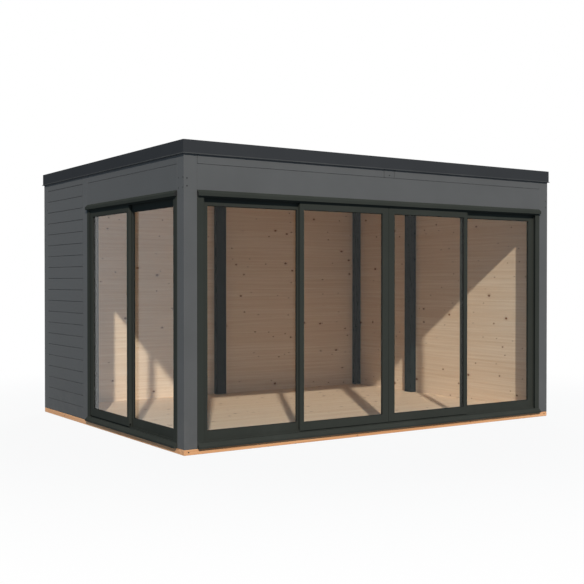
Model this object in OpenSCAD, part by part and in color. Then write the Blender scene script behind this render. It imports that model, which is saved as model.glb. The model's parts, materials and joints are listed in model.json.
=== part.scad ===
// Flat-roofed garden office pod with sliding glass doors on its front and on its left side.
// The origin is on the ground under the middle of the house, +X runs right along the front,
// +Y runs from the front to the back and +Z is up. All sizes are in millimetres.

/* [House] */
// Width of the house along its front, over the corner posts
house_w = 4200; // [3800:50:4800]
// Depth of the house from front to back, over the corner posts
house_d = 3200; // [3000:50:3800]

/* [Posts and walls] */
// Side of a square post
post_w = 120; // [100:5:140]
// Thickness of a board wall
wall_t = 44; // [34:1:70]
// Height of the walls, from the bearers to the roof deck
wall_h = 2402.4; // [2200:0.1:2800]
// Number of board courses in a wall
courses = 21; // [19:1:24]
// Clear width of the side door's bay, between its two posts
side_bay = 1880; // [1600:10:2100]

/* [Base and floor] */
// Height of a ground bearer
bearer_h = 45; // [40:1:70]
// Width of a ground bearer
bearer_w = 70; // [60:1:100]
// Number of cross bearers, an odd number so that one lies in the middle
cross_count = 11; // [9:2:15]
// Thickness of the floor
floor_t = 18; // [16:1:28]

/* [Beams and roof] */
// Thickness of the beams over the doors
beam_t = 90; // [80:1:120]
// Height of the beams over the doors
beam_h = 223; // [180:1:280]
// Height of the ledger that carries the joists at the back wall
ledger_h = 45; // [35:1:70]
// Width of a roof joist
joist_w = 44; // [36:1:60]
// Number of roof joists, an even number so that none meets the middle post
joist_count = 8; // [6:2:10]
// Thickness of the roof deck
deck_t = 18; // [16:1:28]
// Thickness of the roof membrane on the deck
membrane_t = 4; // [2:0.5:6]
// Width of the raised edge under the roof trim
kerb_w = 60; // [45:1:80]
// Height of the raised edge above the deck
kerb_h = 52; // [40:1:80]

/* [Roof trim] */
// Thickness of the trim's metal
trim_t = 3; // [2:0.5:5]
// Distance from the wall to the trim's face
trim_out = 10; // [6:0.5:20]
// Height of the trim's upright face
trim_h = 106; // [80:1:140]
// Outward kick of the drip edge under the face
drip_out = 7; // [4:0.5:15]
// Height of the drip edge
drip_h = 8; // [4:0.5:15]
// Width of the trim's top flange, from its face
flange_w = 80; // [60:1:120]

/* [Door frame] */
// Height of the solid part of the head
head_h = 30; // [24:1:40]
// Width of a jamb's face
jamb_w = 60; // [45:1:80]
// Depth of the channel in a jamb that takes the leaves' edges
pocket_d = 14; // [10:1:24]
// Distance that the frame's face stands out of the wall
frame_out = 4; // [2:0.5:10]
// Thickness of the frame's lips
lip_t = 3; // [2:0.5:5]
// Height of the lips and the guide rib in the head and on the sill's back edge
lip_h = 14; // [10:0.5:20]
// Height of the sill's track above the bearers
sill_h = 45; // [35:1:60]
// Distance that the sill's nose stands out of the wall
nose_out = 30; // [20:1:60]
// Height of the nose's upright face
nose_h = 18; // [10:1:30]
// Distance that the cap over the head stands out of the wall
cap_out = 26; // [15:1:45]
// Height that the cap laps up the beam above it
cap_lap = 16; // [8:1:30]
// Fall of the cap's sloping top
cap_fall = 22; // [8:1:30]
// Distance that the cap's nose hangs below the head channel's roof
cap_drop = 3; // [1:0.5:6]
// Width of the guide rib and of the track rail
rib_w = 6; // [4:0.5:10]
// Height of the track rail above the sill's track
rail_h = 16; // [15:0.5:20]

/* [Leaves] */
// Thickness of a leaf
leaf_t = 30; // [26:1:40]
// Running clearance round a sliding leaf
run_gap = 5; // [5:0.5:8]
// Height of a sliding leaf's bottom edge above the sill's track
foot_gap = 14; // [10:0.5:14]
// Height of the gap over a sliding leaf
top_gap = 8; // [6:0.5:10]
// Face width of the stiles
stile_w = 68; // [55:1:90]
// Face width of the slim stile where a sliding leaf overlaps a fixed one
slim_w = 42; // [36:1:60]
// Face width of a fixed leaf's stile behind the sliding leaf
hidden_w = 50; // [42:1:64]
// Face height of a sliding leaf's bottom rail
bottom_w = 71; // [60:1:100]
// Face height of a sliding leaf's top rail
top_w = 67; // [50:1:90]
// Thickness of the glass unit
glass_t = 10; // [6:0.5:12]
// Distance from a leaf's face back to its glass
glass_set = 11; // [6:0.5:13]
// Depth of the groove that holds the edge of the glass
glass_bite = 12; // [8:0.5:18]
// Clearance of the glass in its groove
glass_gap = 0.3; // [0.2:0.05:0.5]
// Radius of a leaf's wheel
wheel_r = 9; // [7:0.5:11]
// Width of a leaf's wheel
wheel_w = 8; // [5:0.5:9]
// Radius of a wheel's axle
axle_r = 3; // [2:0.5:4]
// Distance from a leaf's end to the middle of its wheel
wheel_in = 120; // [80:1:200]
// Gap between a wheel and the track rail under it
wheel_gap = 0.3; // [0.2:0.05:0.4]

/* [Hidden] */
$fn = 48;
// Cutters run this far past the faces that they cut
over = 1;
left_x = -house_w / 2;
front_y = -house_d / 2;
wall_top = bearer_h + wall_h;
// Height that one wall board covers
board_h = wall_h / courses;
beam_top = wall_top - board_h;
beam_z = beam_top - beam_h;
// Underside of the head channel
head_z = beam_z - head_h;
deck_top = wall_top + deck_t;
kerb_top = deck_top + kerb_h;
trim_top = kerb_top + trim_t;
trim_foot = trim_top - trim_h;
post_h = wall_top - bearer_h;
rear_bay = (house_w - 3 * post_w) / 2;
back_bay = house_d - 3 * post_w - side_bay;
mid_post_s = post_w + side_bay;
// Depths of the door frame, from the wall's outer face inwards
outer_u = lip_t + run_gap - frame_out;
inner_u = outer_u + leaf_t + run_gap;
frame_back = inner_u + leaf_t + run_gap + lip_t;
track_u = outer_u + leaf_t / 2;
// Heights of the leaves and their glass
sill_z = bearer_h + sill_h;
slide_z0 = sill_z + foot_gap;
slide_z1 = head_z - top_gap;
glass_z0 = slide_z0 + bottom_w;
glass_z1 = slide_z1 - top_w;
// Places along the front, from its left end, and along the left side, from its front end
front_s0 = post_w;
front_s1 = house_w - post_w;
side_s0 = post_w;
side_s1 = mid_post_s;
front_mid = (front_s0 + jamb_w + house_w / 2) / 2;
side_mid = (side_s0 + jamb_w + side_s1 - pocket_d) / 2;
front_slide_s0 = front_mid - slim_w / 2;
front_slide_s1 = (house_w - run_gap) / 2;
front_fixed_s0 = front_s0 + jamb_w - pocket_d;
front_fixed_s1 = front_mid + slim_w / 2;
side_slide_s0 = side_mid - slim_w / 2;
side_slide_s1 = side_s1 - jamb_w + pocket_d - run_gap;
side_fixed_s0 = side_s0 + jamb_w - pocket_d;
side_fixed_s1 = side_mid + slim_w / 2;

paint = "#5b5d5e";
dark = "#383c3b";
pine = "#d8b48a";
bearer_pine = "#b9793f";
glass_tint = [0.75, 0.83, 0.86, 0.35];

// Places a shape drawn along the front: x along the wall, y inwards, z up.
module on_front() {
    translate([left_x, front_y, 0])
        children();
}

// Places a shape drawn along the left side: x along the wall from the front, y inwards, z up.
module on_left() {
    translate([left_x, front_y, 0])
        mirror([1, -1, 0])
            children();
}

// Places a shape drawn along the right side: x along the wall from the front, y inwards, z up.
module on_right() {
    mirror([1, 0, 0])
        on_left()
            children();
}

// Places a shape drawn along the back: x along the wall from the left, y inwards, z up.
module on_back() {
    mirror([0, 1, 0])
        on_front()
            children();
}

// A box from one corner to the other, drawn along a wall.
module block(s0, s1, u0, u1, z0, z1) {
    translate([s0, u0, z0])
        cube([s1 - s0, u1 - u0, z1 - z0]);
}

// A post that starts at s along its wall.
module post(s) {
    block(s, s + post_w, 0, post_w, bearer_h, wall_top);
}

// A board wall that starts at s along its wall.
module wall(s, length) {
    block(s, s + length, 0, wall_t, bearer_h, wall_top);
}

// A profile of depth and height, drawn out along the wall from s0 to s1.
module along(s0, s1) {
    translate([s0, 0, 0])
        rotate([90, 0, 90])
            linear_extrude(height = s1 - s0)
                children();
}

// Roof trim along a wall of the given length, cut to a mitre at both ends.
module trim(length) {
    reach = trim_out + drip_out;
    intersection() {
        along(-reach, length + reach)
            polygon([
                [-trim_out, trim_top],
                [flange_w - trim_out, trim_top],
                [flange_w - trim_out, trim_top - trim_t],
                [trim_t - trim_out, trim_top - trim_t],
                [trim_t - trim_out, trim_foot],
                [-reach, trim_foot - drip_h],
                [-reach, trim_foot - drip_h + trim_t],
                [-trim_out, trim_foot + trim_t]
            ]);
        translate([0, 0, trim_foot - drip_h - over])
            linear_extrude(height = trim_h + drip_h + 2 * over)
                polygon([
                    [-reach, -reach],
                    [length + reach, -reach],
                    [length - flange_w, flange_w],
                    [flange_w, flange_w]
                ]);
    }
}

// Head of a door frame: channel with lips, guide rib and a sloping cap over it.
module head(s0, s1) {
    along(s0, s1)
        polygon([
            [frame_back, head_z],
            [frame_back, beam_z],
            [0, beam_z],
            [0, beam_z + cap_lap],
            [-cap_out, beam_z + cap_lap - cap_fall],
            [-cap_out, head_z - cap_drop],
            [lip_t - cap_out, head_z - cap_drop],
            [lip_t - cap_out, head_z + lip_t],
            [-frame_out, head_z + lip_t],
            [-frame_out, head_z]
        ]);
    along(s0 + jamb_w, s1 - jamb_w) {
        translate([-frame_out, head_z - lip_h])
            square([lip_t, lip_h + over]);
        translate([track_u - rib_w / 2, head_z - lip_h])
            square([rib_w, lip_h + over]);
        translate([frame_back - lip_t, head_z - lip_h])
            square([lip_t, lip_h + over]);
    }
}

// Sill of a door frame: sloping nose, flat track with one rail, and a lip at the back.
module sill(s0, s1) {
    along(s0, s1)
        polygon([
            [frame_back, bearer_h],
            [frame_back, sill_z],
            [-frame_out, sill_z],
            [-nose_out, bearer_h + nose_h],
            [-nose_out, bearer_h]
        ]);
    along(s0 + jamb_w, s1 - jamb_w) {
        translate([track_u - rib_w / 2, sill_z - over])
            square([rib_w, rail_h + over]);
        translate([frame_back - lip_t, sill_z - over])
            square([lip_t, lip_h + over]);
    }
}

// Jamb of a door frame at the bay's start: a channel that opens towards the leaves.
module jamb(s0) {
    difference() {
        block(s0, s0 + jamb_w, -frame_out, frame_back, sill_z, head_z);
        block(
            s0 + jamb_w - pocket_d, s0 + jamb_w + over,
            lip_t - frame_out, frame_back - lip_t,
            sill_z - over, head_z + over
        );
    }
}

// Both jambs of a door frame.
module jamb_pair(s0, s1) {
    jamb(s0);
    translate([s0 + s1, 0, 0])
        mirror([1, 0, 0])
            jamb(s0);
}

// Glass unit of a leaf, enlarged all round by the given gap.
module pane(s0, s1, u, start_w, end_w, gap) {
    block(
        s0 + start_w - glass_bite - gap, s1 - end_w + glass_bite + gap,
        u + glass_set - gap, u + glass_set + glass_t + gap,
        glass_z0 - glass_bite - gap, glass_z1 + glass_bite + gap
    );
}

// Frame of a leaf with the groove that holds its glass.
module leaf(s0, s1, u, z0, z1, start_w, end_w) {
    difference() {
        block(s0, s1, u, u + leaf_t, z0, z1);
        block(
            s0 + start_w, s1 - end_w,
            u - over, u + leaf_t + over,
            glass_z0, glass_z1
        );
        pane(s0, s1, u, start_w, end_w, glass_gap);
    }
}

// Fixed leaf in the inner track, with its far stile behind the sliding leaf.
module fixed_leaf(s0, s1) {
    leaf(s0, s1, inner_u, sill_z, head_z, stile_w, hidden_w);
}

// Wheel and axle in the groove under a sliding leaf.
module wheel(s) {
    groove_w = rib_w + 2 * run_gap;
    translate([s, track_u, sill_z + rail_h + wheel_gap + wheel_r])
        rotate([90, 0, 0]) {
            cylinder(r = wheel_r, h = wheel_w, center = true);
            cylinder(r = axle_r, h = groove_w + 2 * over, center = true);
        }
}

// Sliding leaf in the outer track: grooves over the rail and the guide rib, and two wheels.
module sliding_leaf(s0, s1) {
    groove_w = rib_w + 2 * run_gap;
    difference() {
        leaf(s0, s1, outer_u, slide_z0, slide_z1, slim_w, stile_w);
        block(
            s0 - over, s1 + over,
            track_u - groove_w / 2, track_u + groove_w / 2,
            slide_z0 - over, sill_z + rail_h + wheel_gap + 2 * wheel_r + wheel_gap
        );
        block(
            s0 - over, s1 + over,
            track_u - groove_w / 2, track_u + groove_w / 2,
            head_z - lip_h - run_gap, slide_z1 + over
        );
    }
    wheel(s0 + wheel_in);
    wheel(s1 - wheel_in);
}

// Mirrors a shape drawn along the front to the front's other half.
module front_other() {
    mirror([1, 0, 0])
        on_front()
            children();
}

module bearer_front() {
    color(bearer_pine)
        on_front()
            block(0, house_w, 0, bearer_w, 0, bearer_h);
}

module bearer_rear() {
    color(bearer_pine)
        on_back()
            block(0, house_w, 0, bearer_w, 0, bearer_h);
}

module cross_bearers() {
    pitch = (house_w - bearer_w) / (cross_count - 1);
    color(bearer_pine)
        on_front()
            for (i = [0 : cross_count - 1])
                block(i * pitch, i * pitch + bearer_w, bearer_w, house_d - bearer_w, 0, bearer_h);
}

module floor() {
    color(pine)
        difference() {
            translate([left_x + wall_t, front_y + frame_back, bearer_h])
                cube([house_w - 2 * wall_t, house_d - wall_t - frame_back, floor_t]);
            translate([0, 0, -over])
                all_posts();
            on_left()
                block(side_s0, side_s1, 0, frame_back, 0, sill_z);
        }
}

// Every post of the house.
module all_posts() {
    post_front_left();
    post_front_right();
    post_rear_left();
    post_rear_right();
    post_left_mid();
    post_right_mid();
    post_rear_mid();
}

module post_front_left() {
    color(paint)
        on_front()
            post(0);
}

module post_front_right() {
    color(paint)
        on_front()
            post(house_w - post_w);
}

module post_rear_left() {
    color(paint)
        on_back()
            post(0);
}

module post_rear_right() {
    color(paint)
        on_back()
            post(house_w - post_w);
}

module post_left_mid() {
    color(paint)
        on_left()
            post(mid_post_s);
}

module post_right_mid() {
    color(paint)
        on_right()
            post(mid_post_s);
}

module post_rear_mid() {
    color(paint)
        on_back()
            post(post_w + rear_bay);
}

module wall_left() {
    color(paint)
        on_left()
            wall(mid_post_s + post_w, back_bay);
}

module wall_rear_left() {
    color(paint)
        on_back()
            wall(post_w, rear_bay);
}

module wall_rear_right() {
    color(paint)
        on_back()
            wall(2 * post_w + rear_bay, rear_bay);
}

module wall_right_front() {
    color(paint)
        on_right()
            wall(post_w, side_bay);
}

module wall_right_rear() {
    color(paint)
        on_right()
            wall(mid_post_s + post_w, back_bay);
}

module beam_front() {
    color(paint)
        on_front()
            block(front_s0, front_s1, 0, beam_t, beam_z, beam_top);
}

module rim_front() {
    color(paint) {
        on_front()
            block(post_w, post_w + rear_bay, 0, wall_t, beam_top, wall_top);
        on_front()
            block(2 * post_w + rear_bay, front_s1, 0, wall_t, beam_top, wall_top);
    }
}

module rim_block() {
    color(paint)
        on_front()
            block(post_w + rear_bay, 2 * post_w + rear_bay, 0, beam_t, beam_top, wall_top);
}

module beam_left() {
    color(paint)
        on_left()
            block(side_s0, side_s1, 0, beam_t, beam_z, beam_top);
}

module rim_left() {
    color(paint)
        on_left()
            block(side_s0, side_s1, 0, wall_t, beam_top, wall_top);
}

module ledger() {
    color(pine)
        on_back() {
            block(post_w, post_w + rear_bay, wall_t, beam_t, beam_top - ledger_h, beam_top);
            block(2 * post_w + rear_bay, front_s1, wall_t, beam_t, beam_top - ledger_h, beam_top);
        }
}

module roof_joists() {
    pitch = (house_w - 2 * wall_t) / (joist_count + 1);
    color(pine)
        on_front()
            for (i = [1 : joist_count])
                translate([wall_t + i * pitch - joist_w / 2, 0, 0])
                    block(0, joist_w, wall_t, house_d - wall_t, beam_top, wall_top);
}

module roof_deck() {
    color(pine)
        on_front()
            block(0, house_w, 0, house_d, wall_top, deck_top);
}

module roof_membrane() {
    color("#2b2d2e")
        on_front()
            difference() {
                block(0, house_w, 0, house_d, deck_top, kerb_top);
                block(
                    kerb_w, house_w - kerb_w,
                    kerb_w, house_d - kerb_w,
                    deck_top + membrane_t, kerb_top + over
                );
            }
}

module trim_front() {
    color(dark)
        on_front()
            trim(house_w);
}

module trim_rear() {
    color(dark)
        on_back()
            trim(house_w);
}

module trim_left() {
    color(dark)
        on_left()
            trim(house_d);
}

module trim_right() {
    color(dark)
        on_right()
            trim(house_d);
}

module front_head() {
    color(dark)
        on_front()
            head(front_s0, front_s1);
}

module front_sill() {
    color(dark)
        on_front()
            sill(front_s0, front_s1);
}

module front_jambs() {
    color(dark)
        on_front()
            jamb_pair(front_s0, front_s1);
}

module front_fixed_left() {
    color(dark)
        on_front()
            fixed_leaf(front_fixed_s0, front_fixed_s1);
}

module front_fixed_left_glass() {
    color(glass_tint)
        on_front()
            pane(front_fixed_s0, front_fixed_s1, inner_u, stile_w, hidden_w, 0);
}

module front_fixed_right() {
    color(dark)
        front_other()
            fixed_leaf(front_fixed_s0, front_fixed_s1);
}

module front_fixed_right_glass() {
    color(glass_tint)
        front_other()
            pane(front_fixed_s0, front_fixed_s1, inner_u, stile_w, hidden_w, 0);
}

module front_slide_left() {
    color(dark)
        on_front()
            sliding_leaf(front_slide_s0, front_slide_s1);
}

module front_slide_left_glass() {
    color(glass_tint)
        on_front()
            pane(front_slide_s0, front_slide_s1, outer_u, slim_w, stile_w, 0);
}

module front_slide_right() {
    color(dark)
        front_other()
            sliding_leaf(front_slide_s0, front_slide_s1);
}

module front_slide_right_glass() {
    color(glass_tint)
        front_other()
            pane(front_slide_s0, front_slide_s1, outer_u, slim_w, stile_w, 0);
}

module side_head() {
    color(dark)
        on_left()
            head(side_s0, side_s1);
}

module side_sill() {
    color(dark)
        on_left()
            sill(side_s0, side_s1);
}

module side_jambs() {
    color(dark)
        on_left()
            jamb_pair(side_s0, side_s1);
}

module side_fixed() {
    color(dark)
        on_left()
            fixed_leaf(side_fixed_s0, side_fixed_s1);
}

module side_fixed_glass() {
    color(glass_tint)
        on_left()
            pane(side_fixed_s0, side_fixed_s1, inner_u, stile_w, hidden_w, 0);
}

module side_slide() {
    color(dark)
        on_left()
            sliding_leaf(side_slide_s0, side_slide_s1);
}

module side_slide_glass() {
    color(glass_tint)
        on_left()
            pane(side_slide_s0, side_slide_s1, outer_u, slim_w, stile_w, 0);
}

bearer_front();
bearer_rear();
cross_bearers();
floor();
post_front_left();
post_front_right();
post_rear_left();
post_rear_right();
post_left_mid();
post_right_mid();
post_rear_mid();
wall_left();
wall_rear_left();
wall_rear_right();
wall_right_front();
wall_right_rear();
beam_front();
rim_front();
rim_block();
beam_left();
rim_left();
ledger();
roof_joists();
roof_deck();
roof_membrane();
trim_front();
trim_rear();
trim_left();
trim_right();
front_head();
front_sill();
front_jambs();
front_fixed_left();
front_fixed_left_glass();
front_fixed_right();
front_fixed_right_glass();
front_slide_left();
front_slide_left_glass();
front_slide_right();
front_slide_right_glass();
side_head();
side_sill();
side_jambs();
side_fixed();
side_fixed_glass();
side_slide();
side_slide_glass();
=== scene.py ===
import json
import logging
import math
from dataclasses import dataclass
from enum import Enum
from functools import cache
from typing import Iterable, Protocol, Union

import bmesh
import bpy
from mathutils import Matrix, Vector

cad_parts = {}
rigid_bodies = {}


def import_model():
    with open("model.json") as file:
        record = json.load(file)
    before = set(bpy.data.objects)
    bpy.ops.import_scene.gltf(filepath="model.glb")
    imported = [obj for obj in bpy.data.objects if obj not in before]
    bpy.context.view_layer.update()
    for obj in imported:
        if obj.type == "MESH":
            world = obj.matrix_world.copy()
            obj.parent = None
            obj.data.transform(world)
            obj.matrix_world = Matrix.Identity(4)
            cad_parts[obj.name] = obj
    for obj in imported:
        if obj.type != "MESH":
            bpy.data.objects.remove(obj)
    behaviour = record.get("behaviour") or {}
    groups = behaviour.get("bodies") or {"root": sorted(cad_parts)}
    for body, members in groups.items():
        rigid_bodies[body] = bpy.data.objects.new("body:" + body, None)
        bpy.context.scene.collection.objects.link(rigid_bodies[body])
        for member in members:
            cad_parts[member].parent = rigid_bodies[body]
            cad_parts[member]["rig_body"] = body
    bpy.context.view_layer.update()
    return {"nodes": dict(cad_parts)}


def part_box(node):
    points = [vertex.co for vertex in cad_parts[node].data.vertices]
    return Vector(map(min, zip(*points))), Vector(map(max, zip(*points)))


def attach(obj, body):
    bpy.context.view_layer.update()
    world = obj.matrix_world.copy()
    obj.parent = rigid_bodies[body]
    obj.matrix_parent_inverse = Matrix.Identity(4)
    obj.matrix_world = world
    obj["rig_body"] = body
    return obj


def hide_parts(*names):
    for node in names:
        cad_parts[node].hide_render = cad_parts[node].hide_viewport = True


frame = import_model()
CAD_WALL = Vector((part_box("post_front_right")[1].x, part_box("post_rear_right")[1].y, 0.0))

LOG = logging.getLogger("garden_pod")
Mesh = bmesh.types.BMesh
Socket = bpy.types.NodeSocket
Triple = tuple[float, float, float]
Colour = Triple
Feed = Union[Socket, float, Colour]

HOUSE = "house"
SEED = "board_seed"
# Lap of a leaf's frame over the edge of its glass, in metres.
BITE = 0.012
# Distances in metres under which two corners, or two levels, count as one.
WELD = 0.00001
LEVEL = 0.0001
# Angles in radians: faces that count as flat, edges of CAD nodes to ease, and sharp edges.
FLAT = math.radians(0.5)
EASED = math.radians(40)
SHARP = 0.5
# Share of a wall's thickness beyond which a face is on the inside.
INSIDE = 0.6
# Shadow gap round the rim boards, in metres.
RIM_GAP = 0.0025
# Knots, lines and streaks of pine for each metre, and the radii of knots in that scale.
KNOTS = 6.2
LINES = 170.0
STREAKS = 38.0
KNOT_RADII = (0.024, 0.075)
POSTS = ("front_left", "front_right", "rear_left", "rear_right", "left_mid", "right_mid", "rear_mid")


class Run(Enum):
    """Direction that the grain of a timber runs in."""

    X = ("X", "Z", "Y")
    Y = ("Y", "Z", "X")
    Z = ("Z", "X", "Y")
    FLOOR = ("X", "Y", "Z")


class Side(Enum):
    """Side of the house that a wall piece is drawn along."""

    FRONT = "front"
    LEFT = "left"
    RIGHT = "right"
    BACK = "back"

    def place(self) -> Matrix:
        """Gives the turn from wall sizes to the house's frame.

        Returns:
            A matrix that takes length, depth from the outer face and height to the row frame.
        """
        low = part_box("post_front_left")[0]
        left, front = low.x, low.y
        rows = {
            Side.FRONT: ((1, 0, 0, left), (0, 1, 0, front)),
            Side.LEFT: ((0, 1, 0, left), (1, 0, 0, front)),
            Side.RIGHT: ((0, -1, 0, -left), (1, 0, 0, front)),
            Side.BACK: ((1, 0, 0, left), (0, -1, 0, -front)),
        }[self]
        return Matrix((*rows, (0, 0, 1, 0), (0, 0, 0, 1)))

    def grain(self) -> Run:
        """Gives the direction of boards that lie along this side."""
        return Run.X if self in (Side.FRONT, Side.BACK) else Run.Y


class Layer(Enum):
    """Layer of a coat's fine texture that a tone follows."""

    HEIGHT = "Height"
    CLOUD = "Cloud"


class SlimEnd(Enum):
    """End of a leaf, along its wall, that has the slim stile and the plug."""

    NONE = 0
    START = -1
    FAR = 1


def srgb(red: int, green: int, blue: int) -> Colour:
    """Turns a colour of a paint chart into the linear values that a shader takes.

    Args:
        red: Red from 0 to 255.
        green: Green from 0 to 255.
        blue: Blue from 0 to 255.

    Returns:
        The linear colour.
    """
    def line(value: int) -> float:
        """Gives one channel as a linear value."""
        part = value / 255
        return part / 12.92 if part <= 0.04045 else ((part + 0.055) / 1.055) ** 2.4

    return line(red), line(green), line(blue)


def shade(tone: Colour, share: float) -> Colour:
    """Makes a colour lighter or darker by a factor."""
    return tuple(part * share for part in tone)


def shuffle(index: int, salt: float) -> float:
    """Gives a fixed number between 0 and 1 that looks shuffled, for each board and row of boards."""
    return math.modf(abs(math.sin(index * 12.9898 + salt * 78.233) * 43758.5453))[0]


class Sheet:
    """Places and joins the nodes of one material or one shared effect."""

    def __init__(self, tree: bpy.types.NodeTree) -> None:
        """Starts from an empty tree."""
        self.tree = tree
        tree.nodes.clear()

    def add(self, kind: str, **settings: object) -> bpy.types.Node:
        """Places a node.

        Args:
            kind: Blender's name of the node's type.
            settings: Values of the node's own options.

        Returns:
            The new node.
        """
        made = self.tree.nodes.new(kind)
        for name, value in settings.items():
            setattr(made, name, value)
        return made

    def feed(self, socket: Socket, value: Feed) -> None:
        """Joins a socket to an input, or sets the input's own value.

        Args:
            socket: The input.
            value: A socket to join, a number or a colour.
        """
        if isinstance(value, Socket):
            self.tree.links.new(value, socket)
        elif isinstance(value, tuple) and len(value) != len(socket.default_value):
            socket.default_value = (*value, 1.0)
        else:
            socket.default_value = value

    def fill(self, node: bpy.types.Node, **values: Feed) -> bpy.types.Node:
        """Joins or sets several inputs of a node.

        Args:
            node: The node.
            values: What each input takes, by its name with a _ for each space.

        Returns:
            The same node.
        """
        for name, value in values.items():
            self.feed(node.inputs[name.replace("_", " ")], value)
        return node

    def sum(self, operation: str, first: Feed, second: Feed) -> Socket:
        """Places a Math node.

        Args:
            operation: Name of the sum.
            first: First value.
            second: Second value.

        Returns:
            The result's socket.
        """
        made = self.add("ShaderNodeMath", operation=operation)
        self.feed(made.inputs[0], first)
        self.feed(made.inputs[1], second)
        return made.outputs[0]

    def times(self, first: Feed, second: Feed) -> Socket:
        """Multiplies two values."""
        return self.sum("MULTIPLY", first, second)

    def blend(self, share: Feed, first: Feed, second: Feed) -> Socket:
        """Blends two colours.

        Args:
            share: How much of the second colour shows.
            first: First colour.
            second: Second colour.

        Returns:
            The blended colour's socket.
        """
        made = self.add("ShaderNodeMix", data_type="RGBA")
        # A Mix node has its colours at inputs 6 and 7 and their blend at output 2.
        for index, value in ((0, share), (6, first), (7, second)):
            self.feed(made.inputs[index], value)
        return made.outputs[2]

    def film(self, mask: Feed, strength: Feed, under: Feed, over: Feed) -> Socket:
        """Lays a colour over another where a mask shows it, at most as strongly as told."""
        return self.blend(self.times(mask, strength), under, over)

    def fit(self, value: Feed, low: Feed, high: Feed, to_low: Feed = 0.0, to_high: Feed = 1.0) -> Socket:
        """Moves a value smoothly from one range to another.

        Args:
            value: The value.
            low: Start of its range.
            high: End of its range.
            to_low: Start of the new range.
            to_high: End of the new range.

        Returns:
            The new value's socket.
        """
        made = self.add("ShaderNodeMapRange", interpolation_type="SMOOTHSTEP")
        self.fill(made, Value=value, From_Min=low, From_Max=high, To_Min=to_low, To_Max=to_high)
        return made.outputs["Result"]

    def vector(self, x: Feed, y: Feed, z: Feed = 0.0) -> Socket:
        """Puts three values together as a place for a texture."""
        return self.fill(self.add("ShaderNodeCombineXYZ"), X=x, Y=y, Z=z).outputs[0]

    def noise(self, place: Feed, scale: float, detail: float, rough: float = 0.5) -> Socket:
        """Places a soft noise with its waves for each metre, its finer layers and their strength."""
        made = self.add("ShaderNodeTexNoise")
        return self.fill(made, Vector=place, Scale=scale, Detail=detail, Roughness=rough).outputs[0]

    def spot(self) -> Socket:
        """Gives the place on the piece in metres."""
        return self.add("ShaderNodeTexCoord").outputs["Object"]

    def axes(self, run: Run) -> tuple[Socket, ...]:
        """Splits the place on the piece into sockets along the grain, across it and into the timber."""
        split = self.fill(self.add("ShaderNodeSeparateXYZ"), Vector=self.spot())
        return tuple(split.outputs[name] for name in run.value)

    def effect(self, tree: bpy.types.NodeTree, **values: Feed) -> bpy.types.bpy_prop_collection:
        """Places a shared effect, fills its inputs and gives its outputs."""
        return self.fill(self.add("ShaderNodeGroup", node_tree=tree), **values).outputs

    def coat(self, scale: float) -> bpy.types.bpy_prop_collection:
        """Places the fine texture of a coat or a sheet, with a scale in grains for each metre."""
        x, y, z = self.axes(Run.FLOOR)
        return self.effect(fine_texture(), X=x, Y=y, Z=z, Scale=scale)

    def bump(self, height: Feed, depth: float, strength: float) -> Socket:
        """Turns a height from 0 to 1 into a normal, with the depth of a height of 1 in metres."""
        made = self.add("ShaderNodeBump")
        return self.fill(made, Height=height, Distance=depth, Strength=strength).outputs[0]

    def surface(self, **values: Feed) -> bpy.types.Node:
        """Places the Principled shader and joins it to the output.

        Args:
            values: Its inputs by name, with a _ for each space.

        Returns:
            The shader's node.
        """
        shader = self.fill(self.add("ShaderNodeBsdfPrincipled"), **values)
        out = self.add("ShaderNodeOutputMaterial")
        self.tree.links.new(shader.outputs[0], out.inputs[0])
        return shader

    def pick(self, share: Feed, first: bpy.types.Node, second: bpy.types.Node) -> None:
        """Mixes two shaders and joins the mix to the tree's output.

        Args:
            share: How much of the second shader shows.
            first: First shader.
            second: Second shader.
        """
        mixed = self.add("ShaderNodeMixShader")
        for socket, value in zip(mixed.inputs, (share, first.outputs[0], second.outputs[0])):
            self.feed(socket, value)
        out = next(node for node in self.tree.nodes if node.type.startswith("OUTPUT_"))
        self.feed(out.inputs[0], mixed.outputs[0])


class Effect:
    """A shared shader effect with named inputs and outputs."""

    def __init__(self, name: str, inputs: tuple[str, ...], outputs: tuple[str, ...]) -> None:
        """Makes the group and its sockets.

        Args:
            name: Name of the group.
            inputs: Names of the inputs, all numbers.
            outputs: Names of the outputs, all numbers.
        """
        self.tree = bpy.data.node_groups.new(name, "ShaderNodeTree")
        self.sheet = Sheet(self.tree)
        for way, labels in (("INPUT", inputs), ("OUTPUT", outputs)):
            for label in labels:
                self.tree.interface.new_socket(label, in_out=way, socket_type="NodeSocketFloat")
        self.given = self.sheet.add("NodeGroupInput").outputs
        self.result = self.sheet.add("NodeGroupOutput")


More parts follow.
